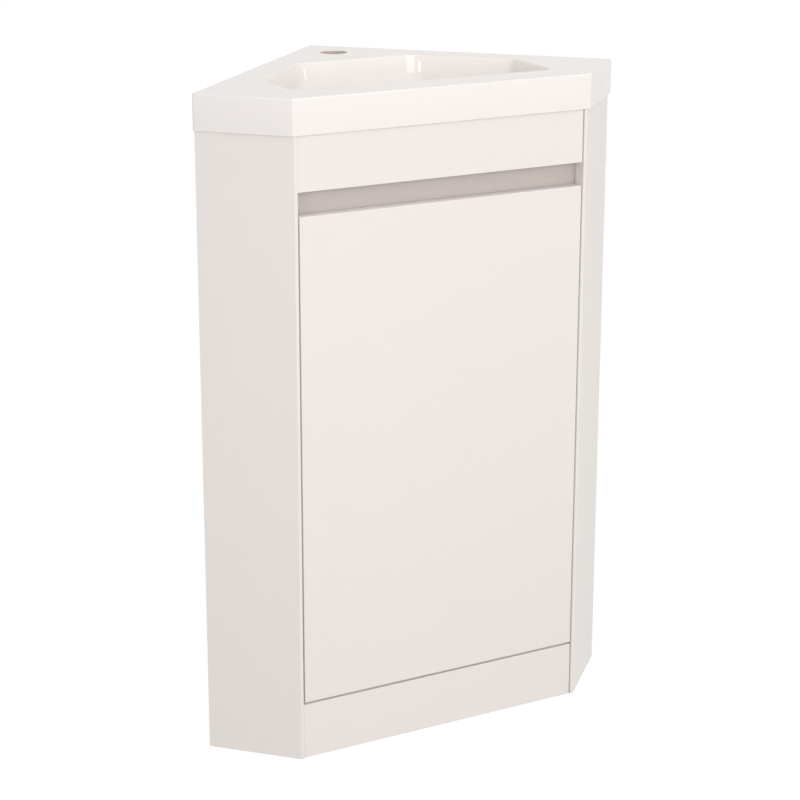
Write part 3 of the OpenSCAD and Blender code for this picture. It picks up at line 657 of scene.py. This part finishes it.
# Drawn lying on its back: across, up the door, and height above the floor of that drawing
leaf = Skin()
leaf_back, leaf_front = -door_high.y, -door_low.y
leaf_steps = [(DOOR_EASE + LEVEL_BAND, leaf_back)]
for across, down in quarter(4):
    leaf_steps.append((DOOR_EASE * (1 - across), leaf_back + DOOR_EASE * down))
for across, down in quarter(4)[::-1]:
    leaf_steps.append((DOOR_EASE * (1 - across), leaf_front - DOOR_EASE * down))
leaf_steps.append((DOOR_EASE + LEVEL_BAND, leaf_front))
leaf_rings = [leaf.ring(door_outline(inset), z) for inset, z in leaf_steps]
leaf.stack(leaf_rings)
cup_x = (cup_low.x + cup_high.x) / 2
bore_mouths = []
for cup_z in (cup_low.z + CUP_FLANGE_HALF, cup_high.z - CUP_FLANGE_HALF):
    bore_plan = [(x + cup_x, z) for x, z in circle(cup_z, CUP_BORE_R, CUP_BORE_STEPS)]
    mouth = leaf.ring(bore_plan, leaf_back)
    bore_end = leaf.ring(bore_plan, leaf_back + CUP_BORE_DEPTH)
    leaf.join(bore_end, mouth)
    leaf.cover([bore_end], up=False)
    bore_mouths.append(mouth)
leaf.cover([leaf_rings[-1]], up=True)
leaf.cover([leaf_rings[0]] + bore_mouths, up=False)
door_leaf = leaf.build("door_leaf")
door_leaf.data.transform(Matrix.Rotation(math.radians(90), 4, "X"))
even_normals(door_leaf)
door_leaf.data.materials.append(lacquer)
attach(door_leaf, "door")
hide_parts("door_panel")

# ---------------------------------------------------------------------------
# Inner boards: bottom, shelf, rear legs and back rails. They are chipboard faced with white
# melamine, which has a fine pebbled texture, and edged with thin white banding.
# ---------------------------------------------------------------------------
BANDING_EASE = 0.5 * MM
melamine = glossy(
    "pebbled_white_melamine", linear(232, 229, 225), linear(224, 219, 213), mottle=0.4,
    ripple_size=900.0, ripple_height=0.05, gloss=0.48, gloss_spread=0.08)
for node in (
    "bottom_panel", "shelf", "right_rear_leg", "left_rear_leg", "upper_back_rail_right",
    "upper_back_rail_left", "lower_back_rail_right", "lower_back_rail_left",
):
    ease_edges(node, BANDING_EASE)
    finish_node(node, melamine)

# ---------------------------------------------------------------------------
# Corner blocks: moulded white nylon blocks that hold two boards at a right angle. The mould eases
# their edges, and each takes two wood screws, one into each board.
# ---------------------------------------------------------------------------
BLOCK_EASE = 1.2 * MM
nylon = glossy(
    "moulded_nylon", linear(228, 228, 224), linear(220, 218, 210), mottle=0.3,
    ripple_size=300.0, ripple_height=0.04, gloss=0.5, gloss_spread=0.08)
ease_edges("corner_blocks", BLOCK_EASE)
finish_node("corner_blocks", nylon)

# ---------------------------------------------------------------------------
# Wood screws: cold-formed countersunk screws in zinc-plated steel, nickel-plated on the hinges.
# Each has a cross recess for the driver and a rolled thread that stays hidden in the board.
# ---------------------------------------------------------------------------
SCREW_HEAD_R, SCREW_SHANK_R, SCREW_ROOT_R, SCREW_TIP_R = 3.97, 1.97, 1.45, 0.2
SCREW_EDGE_W, SCREW_EDGE_T = 0.25, 0.12
SCREW_PLAIN_L, SCREW_POINT_L, SCREW_TIP_GAP = 1.5, 3.5, 0.05
SCREW_PITCH, SCREW_ROOT_SHARE, SCREW_RUN_OUT = 1.8, 0.6, 0.6
SCREW_CROSS = (2.3, 0.5, 1.9)      # reach, arm and depth of the driver's recess
CROSS_TAPER, CROSS_ARM_TAPER = 0.5, 0.6
METAL_STEPS = 16
TARNISH_SHADE = 0.85
END_FAVOUR = 0.3      # share by which facing the wanted way adds to an end's area
SAME_SPOT = 1e-6


def metal(name, colour, gloss, scratch_size, tarnish=0.6):
    """Plated steel or brass: faint clouding and fine rolling marks in the plate."""
    tarnished = tuple(TARNISH_SHADE * c for c in colour[:3]) + (1,)
    plate = glossy(name, colour, tarnished, mottle=tarnish, ripple_size=scratch_size,
                   ripple_height=0.02, gloss=gloss, gloss_spread=0.12)
    plate.node_tree.nodes["Principled BSDF"].inputs["Metallic"].default_value = 1.0
    return plate


def loose_parts(mesh):
    """The separate bodies of a mesh, each as the list of its corners."""
    seen = [False] * len(mesh.verts)
    for first in range(len(seen)):
        if seen[first]:
            continue
        part, seen[first] = [mesh.verts[first]], True
        for corner in part:
            for edge in corner.link_edges:
                other = edge.other_vert(corner)
                if not seen[other.index]:
                    seen[other.index] = True
                    part.append(other)
        yield part


def end_worth(faces, wanted):
    """The area of a flat end, with a little added where it faces the wanted way."""
    first_face = next(iter(faces.values()))
    area = sum(face.calc_area() for face in faces.values())
    return area * (1 + END_FAVOUR * first_face.normal.dot(wanted))


def fitting_places(node, facing=None):
    """Finds each loose part of a node, in millimetres: the middle of its flat end, where that end
    faces, and the length behind it. Of two equal ends it takes the one that faces the way the
    caller gives."""
    mesh = bmesh.new()
    mesh.from_mesh(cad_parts[node].data)
    bmesh.ops.remove_doubles(mesh, verts=mesh.verts, dist=SAME_SPOT)
    mesh.verts.index_update()
    mesh.verts.ensure_lookup_table()
    places = []
    for part in loose_parts(mesh):
        middle = sum((v.co for v in part), Vector()) / len(part)
        ends = {}
        for corner in part:
            for face in corner.link_faces:
                key = tuple(round(c, 2) + 0.0 for c in face.normal)      # -0.0 counts as 0.0
                ends.setdefault(key, {})[face.index] = face
        wanted = facing(middle).normalized() if facing else Vector()
        end = max(ends.values(), key=lambda faces: end_worth(faces, wanted))
        spots = {v.index: v.co for f in end.values() for v in f.verts}
        low = Vector(min(c[k] for c in spots.values()) for k in range(3))
        high = Vector(max(c[k] for c in spots.values()) for k in range(3))
        centre, normal = (low + high) / 2, next(iter(end.values())).normal.copy()
        length = max(-(v.co - centre).dot(normal) for v in part)
        places.append((centre / MM, normal, length / MM))
    mesh.free()
    return places


def towards(centre, normal):
    """Moves a form drawn about the upright axis to a place in the unit."""
    return Matrix.Translation(centre) @ normal.to_track_quat("Z", "Y").to_matrix().to_4x4()


def cross_outline(reach, arm):
    corners = []
    for k in range(4):
        turn = Matrix.Rotation(math.radians(90 * k), 2)
        corners += [turn @ Vector(p) for p in ((reach, -arm), (reach, arm), (arm, arm))]
    return [tuple(c) for c in corners]


def turned(profile, steps=METAL_STEPS, cross=None):
    """A closed form turned about the upright axis, from (radius, height) steps down from its top.
    A cross gives the reach, arm and depth of a driver's recess in that top face."""
    form = Skin()
    rings = [form.ring(circle(0, radius, steps), z) for radius, z in profile]
    form.stack(rings)
    if cross:
        reach, arm, deep = cross
        top = profile[0][1]
        mouth = form.ring(cross_outline(reach, arm), top)
        foot = form.ring(cross_outline(reach * CROSS_TAPER, arm * CROSS_ARM_TAPER), top - deep)
        form.cover([rings[0], mouth], up=True)
        form.join(mouth, foot)
        form.cover([foot], up=True)
    else:
        form.cover([rings[0]], up=True)
    form.cover([rings[-1]], up=False)
    return form


def fit_out(name, node, body, slot, paint, form_of, facing=None):
    """Builds one piece from a form at each place of a node, and puts it in that node's stead."""
    whole = Skin()
    for centre, normal, length in fitting_places(node, facing):
        whole.place_copy(form_of(length), towards(centre, normal))
    piece = whole.build(name)
    even_normals(piece)
    piece.data.materials.append(paint)
    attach(piece, body)
    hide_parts(node)


def wood_screw(length):
    profile = [
        (SCREW_HEAD_R - SCREW_EDGE_W, 0), (SCREW_HEAD_R, -SCREW_EDGE_T),
        (SCREW_SHANK_R, SCREW_SHANK_R - SCREW_HEAD_R)]
    z = profile[-1][1] - SCREW_PLAIN_L
    profile.append((SCREW_SHANK_R, z))
    while z > -length + SCREW_POINT_L:
        profile.append((SCREW_ROOT_R, z - SCREW_ROOT_SHARE * SCREW_PITCH))
        profile.append((SCREW_SHANK_R, z - SCREW_PITCH))
        z -= SCREW_PITCH
    profile += [(SCREW_ROOT_R, z - SCREW_RUN_OUT), (SCREW_TIP_R, -length + SCREW_TIP_GAP)]
    return turned(profile, cross=SCREW_CROSS)


zinc = metal("zinc_plate", linear(190, 192, 196), gloss=0.38, scratch_size=400.0)
nickel = metal("nickel_plate", linear(205, 203, 198), gloss=0.25, scratch_size=500.0)
for node, body, slot, paint in (
    ("block_screws", "root", "zinc_steel", zinc),
    ("bracket_screws", "root", "zinc_steel", zinc),
    ("fascia_screws", "root", "zinc_steel", zinc),
    ("hinge_plate_screws", "root", "nickel_steel", nickel),
    ("hinge_cup_screws", "door", "nickel_steel", nickel),
):
    fit_out(node + "_driven", node, body, slot, paint, wood_screw)

# ---------------------------------------------------------------------------
# Cams, cam bolts and brackets: die-cast cams in the underside of the bottom board pull on turned
# bolts in the side panels. Bent straps tie the recess rail to those panels. All are zinc plated.
# ---------------------------------------------------------------------------
# The cam's rim and the groove round it, as (inwards from its side, down from its face)
CAM_R, CAM_FOOT_EASE = 7.45, 0.5
CAM_RIM = ((0.7, 0), (0.35, 0.1), (0, 0.5))
CAM_GROOVE = ((0, 3.2), (0.5, 3.6), (0.5, 5.2), (0, 5.6))
CAM_CROSS = (3.6, 0.8, 2.6)
CAM_STEPS = 40
BOLT_HEAD_R, BOLT_NECK_R, BOLT_R, BOLT_ROOT_R = 2.45, 1.5, 2.35, 1.7
BOLT_HEAD_L, BOLT_NECK_L, BOLT_EASE, BOLT_TAPER = 3, 5, 0.8, 0.6
BOLT_THREAD_L, BOLT_THREAD_END, BOLT_PITCH, BOLT_FLANK = 10, 2, 1.3, 0.5
STRAP_EASE = 0.5 * MM


def cam(length):
    profile = [(CAM_R - inwards, -down) for inwards, down in CAM_RIM + CAM_GROOVE]
    profile += [(CAM_R, CAM_FOOT_EASE - length), (CAM_R - CAM_FOOT_EASE, -length)]
    return turned(profile, steps=CAM_STEPS, cross=CAM_CROSS)


def cam_bolt(length):
    neck_foot = -BOLT_HEAD_L - BOLT_NECK_L
    z = -length + BOLT_THREAD_L
    profile = [
        (BOLT_HEAD_R - BOLT_EASE, 0), (BOLT_HEAD_R, -BOLT_EASE), (BOLT_HEAD_R, -BOLT_HEAD_L),
        (BOLT_NECK_R, -BOLT_HEAD_L - BOLT_TAPER), (BOLT_NECK_R, neck_foot),
        (BOLT_R, neck_foot - BOLT_TAPER), (BOLT_R, z)]
    while z > -length + BOLT_THREAD_END:
        profile += [(BOLT_ROOT_R, z - BOLT_FLANK), (BOLT_R, z - BOLT_PITCH)]
        z -= BOLT_PITCH
    return turned(profile + [(BOLT_NECK_R, -length)])


def inwards_from_panel(middle):
    """The way from a fitting in a side panel to the middle of the cabinet."""
    return Vector((-middle.x, -middle.y, 0))


fit_out("cam_locks_cast", "cam_locks", "root", "zinc_steel", zinc, cam,
        facing=lambda middle: Vector((0, 0, -1)))
fit_out("cam_bolts_turned", "cam_bolts", "root", "zinc_steel", zinc, cam_bolt,
        facing=inwards_from_panel)
ease_edges("rail_brackets", STRAP_EASE)
finish_node("rail_brackets", zinc)

# ---------------------------------------------------------------------------
# Dowels and shelf pins: fluted beech dowels are glued between back rails and legs. Nickel-plated
# steel pins push into the panels up to a collar, and the shelf lies on their free ends.
# ---------------------------------------------------------------------------
# The eased ends, as (inwards from the side, in from the end)
DOWEL_R, DOWEL_FLUTE, DOWEL_STEPS, STEPS_PER_FLUTE = 3.98, 0.25, 36, 3
DOWEL_END = ((1.0, 0), (0.3, 0.9), (0, 1.6))
PIN_R, PIN_REACH, PIN_STEPS = 2.48, 9, 24
PIN_END = ((0.6, 0), (0.15, 0.15), (0, 0.6))
PIN_FOOT_EASE, PIN_FOOT_TAPER = 0.7, 1
PIN_COLLAR_R, PIN_COLLAR_T, PIN_COLLAR_EASE, PIN_COLLAR_GAP = 3.6, 0.8, 0.2, 0.1

beech = glossy(
    "beech_dowel", linear(205, 170, 125), linear(172, 128, 84), mottle=0.8,
    ripple_size=160.0, ripple_height=0.08, gloss=0.6, gloss_spread=0.1)


def dowel(length):
    form = Skin()
    flutes = [0 if k % STEPS_PER_FLUTE else DOWEL_FLUTE for k in range(DOWEL_STEPS)]
    ends = [(inwards, -down) for inwards, down in DOWEL_END]
    ends += [(inwards, down - length) for inwards, down in DOWEL_END[::-1]]
    rings = []
    for inwards, z in ends:
        radii = [DOWEL_R - inwards - flute for flute in flutes]
        spokes = circle(0, 1, DOWEL_STEPS)
        rings.append(form.ring([(x * r, y * r) for (x, y), r in zip(spokes, radii)], z))
    form.stack(rings)
    form.cover([rings[0]], up=True)
    form.cover([rings[-1]], up=False)
    return form


def shelf_pin(length):
    collar_foot = PIN_COLLAR_GAP - PIN_REACH
    collar_top = collar_foot + PIN_COLLAR_T
    profile = [(PIN_R - inwards, -down) for inwards, down in PIN_END]
    profile += [
        (PIN_R, collar_top), (PIN_COLLAR_R - PIN_COLLAR_EASE, collar_top),
        (PIN_COLLAR_R, collar_top - PIN_COLLAR_EASE), (PIN_COLLAR_R, collar_foot),
        (PIN_R, collar_foot), (PIN_R, PIN_FOOT_TAPER - length), (PIN_R - PIN_FOOT_EASE, -length)]
    return turned(profile, steps=PIN_STEPS)


fit_out("dowels_fluted", "dowels", "root", "beech", beech, dowel)
fit_out("shelf_pins_collared", "shelf_pins", "root", "nickel_steel", nickel, shelf_pin,
        facing=inwards_from_panel)

# ---------------------------------------------------------------------------
# Hinges: pressed steel, nickel plated. Winged plates are screwed to the side panel, channel arms
# clip on them with two adjusting screws, and cups are let into the door's back with two screws.
# ---------------------------------------------------------------------------
CUP_EASE, ARM_EASE, PLATE_EASE = 0.35 * MM, 0.6 * MM, 0.5 * MM
# The adjusting screw's head and neck, as (radius, height above the arm)
ADJUSTER_PROFILE = ((2.5, 0.9), (3.0, 0.6), (3.0, 0), (2.2, -0.2), (2.2, -1.4))
ADJUSTER_CROSS = (1.9, 0.4, 1.2)
ADJUSTER_STEPS = 24
ADJUSTER_SPOTS = (-14, 10)

for node, width in (
    ("hinge_cups", CUP_EASE), ("hinge_arms", ARM_EASE), ("hinge_plates", PLATE_EASE),
):
    ease_edges(node, width)
    finish_node(node, nickel)

adjuster = turned(ADJUSTER_PROFILE, steps=ADJUSTER_STEPS, cross=ADJUSTER_CROSS)
adjusters = Skin()
for centre, normal, _ in fitting_places("hinge_arms"):
    along = normal.cross(Vector((0, 0, 1)))
    for spot in ADJUSTER_SPOTS:
        adjusters.place_copy(adjuster, towards(centre + along * spot, normal))
hinge_adjusters = adjusters.build("hinge_adjusting_screws")
even_normals(hinge_adjusters)
hinge_adjusters.data.materials.append(nickel)
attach(hinge_adjusters, "root")

# ---------------------------------------------------------------------------
# Door buffers: small domes of clear soft gel, moulded in sheets and stuck to the door's back at its
# free edge. They take the knock when the door closes.
# ---------------------------------------------------------------------------
# The dome, as (radius, down from its crown)
BUFFER_DOME = ((1.2, 0), (2.4, 0.06), (3.4, 0.2), (4.2, 0.45), (4.75, 0.8), (5, 1.25))
BUFFER_R, BUFFER_STEPS = 5, 36

buffer_gel = glossy(
    "clear_buffer", linear(215, 218, 220), linear(205, 208, 210), mottle=0.3,
    ripple_size=200.0, ripple_height=0.02, gloss=0.2, gloss_spread=0.05)
buffer_shader = buffer_gel.node_tree.nodes["Principled BSDF"]
buffer_shader.inputs["Transmission Weight"].default_value = 0.6


def buffer_dome(length):
    profile = [(radius, -down) for radius, down in BUFFER_DOME]
    return turned(profile + [(BUFFER_R, -length)], steps=BUFFER_STEPS)


fit_out("door_buffer_domes", "door_buffers", "door", "clear_buffer", buffer_gel, buffer_dome,
        facing=lambda middle: Vector((0, 1, 0)))

# ---------------------------------------------------------------------------
# Waste: a turned brass body under bright chrome, its flange bedded on a rubber seal in the bowl. A
# second seal and a hexagonal back nut clamp it from below, and a sprung plug with a domed cap
# closes it. The plug's stem runs in a spider of three webs in the body's bore.
# ---------------------------------------------------------------------------
FLANGE_R, FLANGE_TOP, FLANGE_T = 31.5, 757.0, 2.5
SHANK_R, TAIL_R, BORE_R = 20.55, 20.95, 17.45
TAIL_FOOT, NUT_FOOT = 674.5, 726.0
BARREL_STEPS, SPIDER_STEPS = 72, 32
# The flange's edge and the bore's mouth, as (away from the radius, down from the flange's top)
FLANGE_EDGE = ((1.4, 0), (0.5, 0.3), (0.1, 0.9), (0, 1.6), (0.1, FLANGE_T))
BORE_MOUTH = ((0, 0.6), (1.2, 0.1))
# One turn of the tail's thread, as (inwards from the tail's side, share of the pitch)
THREAD_DEPTH, THREAD_PITCH, THREAD_END = 0.9, 2.3, 3
THREAD_FORM = ((THREAD_DEPTH, 0.35), (THREAD_DEPTH, 0.5), (0, 0.85), (0, 1))
TAIL_PLAIN_L, TAIL_TAPER, TAIL_BORE_EASE, TAIL_BORE_MOUTH = 0.8, 1.3, 0.4, 0.5
SPIDER_TOP, SPIDER_H, SPIDER_BOSS_R, SPIDER_BORE_R = 729.5, 16, 7, 4.05
SPIDER_EASE, SPIDER_BORE_EASE = 0.5, 0.4
WEB_COUNT, WEB_HALF_T, WEB_EDGE_SHARE, WEB_EDGE_H = 3, 1.25, 0.6, 0.8
WEB_IN_BOSS, WEB_IN_BARREL = 0.4, 0.8
NUT_EASE, SEAL_EASE = 0.8 * MM, 0.4 * MM

chrome = metal(
    "chrome_plate", linear(225, 227, 230), gloss=0.07, scratch_size=60.0, tarnish=0.25)
rubber = glossy(
    "black_rubber", linear(38, 38, 40), linear(52, 50, 50), mottle=0.5,
    ripple_size=500.0, ripple_height=0.05, gloss=0.6, gloss_spread=0.1)


def closed_turning(profile, steps):
    """A hollow form turned about the waste's axis, from a closed loop of (radius, height)."""
    form = Skin()
    rings = [form.ring(circle(waste_y, radius, steps), z) for radius, z in profile]
    form.stack(rings + rings[:1])
    return form


barrel_profile = [(BORE_R + out, FLANGE_TOP - down) for out, down in BORE_MOUTH]
barrel_profile += [(FLANGE_R - inwards, FLANGE_TOP - down) for inwards, down in FLANGE_EDGE]
barrel_profile += [(SHANK_R, FLANGE_TOP - FLANGE_T), (SHANK_R, NUT_FOOT)]
thread_z = NUT_FOOT
while thread_z > TAIL_FOOT + THREAD_END:
    barrel_profile += [
        (TAIL_R - inwards, thread_z - share * THREAD_PITCH) for inwards, share in THREAD_FORM]
    thread_z -= THREAD_PITCH
barrel_profile += [
    (TAIL_R - THREAD_DEPTH, TAIL_FOOT + TAIL_PLAIN_L), (TAIL_R - TAIL_TAPER, TAIL_FOOT),
    (BORE_R + TAIL_BORE_EASE, TAIL_FOOT), (BORE_R, TAIL_FOOT + TAIL_BORE_MOUTH)]
barrel = closed_turning(barrel_profile, BARREL_STEPS)

spider_foot = SPIDER_TOP - SPIDER_H
spider = closed_turning([
    (SPIDER_BORE_R, SPIDER_TOP - SPIDER_BORE_EASE), (SPIDER_BORE_R + SPIDER_BORE_EASE, SPIDER_TOP),
    (SPIDER_BOSS_R - SPIDER_EASE, SPIDER_TOP), (SPIDER_BOSS_R, SPIDER_TOP - SPIDER_EASE),
    (SPIDER_BOSS_R, spider_foot + SPIDER_EASE), (SPIDER_BOSS_R - SPIDER_EASE, spider_foot),
    (SPIDER_BORE_R, spider_foot),
], SPIDER_STEPS)
barrel.place_copy(spider, Matrix())

web = Skin()
web_from, web_to = SPIDER_BOSS_R - WEB_IN_BOSS, BORE_R + WEB_IN_BARREL
web_edge = WEB_HALF_T * WEB_EDGE_SHARE
web_rings = [
    web.ring([(web_from, -half), (web_to, -half), (web_to, half), (web_from, half)], z)
    for half, z in (
        (web_edge, SPIDER_TOP), (WEB_HALF_T, SPIDER_TOP - WEB_EDGE_H),
        (WEB_HALF_T, spider_foot + WEB_EDGE_H), (web_edge, spider_foot))]
web.stack(web_rings)
web.cover([web_rings[0]], up=True)
web.cover([web_rings[-1]], up=False)
for k in range(WEB_COUNT):
    turn = Matrix.Rotation(math.radians(360 / WEB_COUNT * k), 4, "Z")
    barrel.place_copy(web, Matrix.Translation((0, waste_y, 0)) @ turn)
waste_barrel = barrel.build("waste_barrel")
even_normals(waste_barrel)
waste_barrel.data.materials.append(chrome)
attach(waste_barrel, "root")
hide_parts("waste_body")

ease_edges("waste_back_nut", NUT_EASE)
finish_node("waste_back_nut", chrome)
finish_node("waste_plug", chrome)
for node in ("waste_top_seal", "waste_lower_seal"):
    ease_edges(node, SEAL_EASE)
    finish_node(node, rubber)
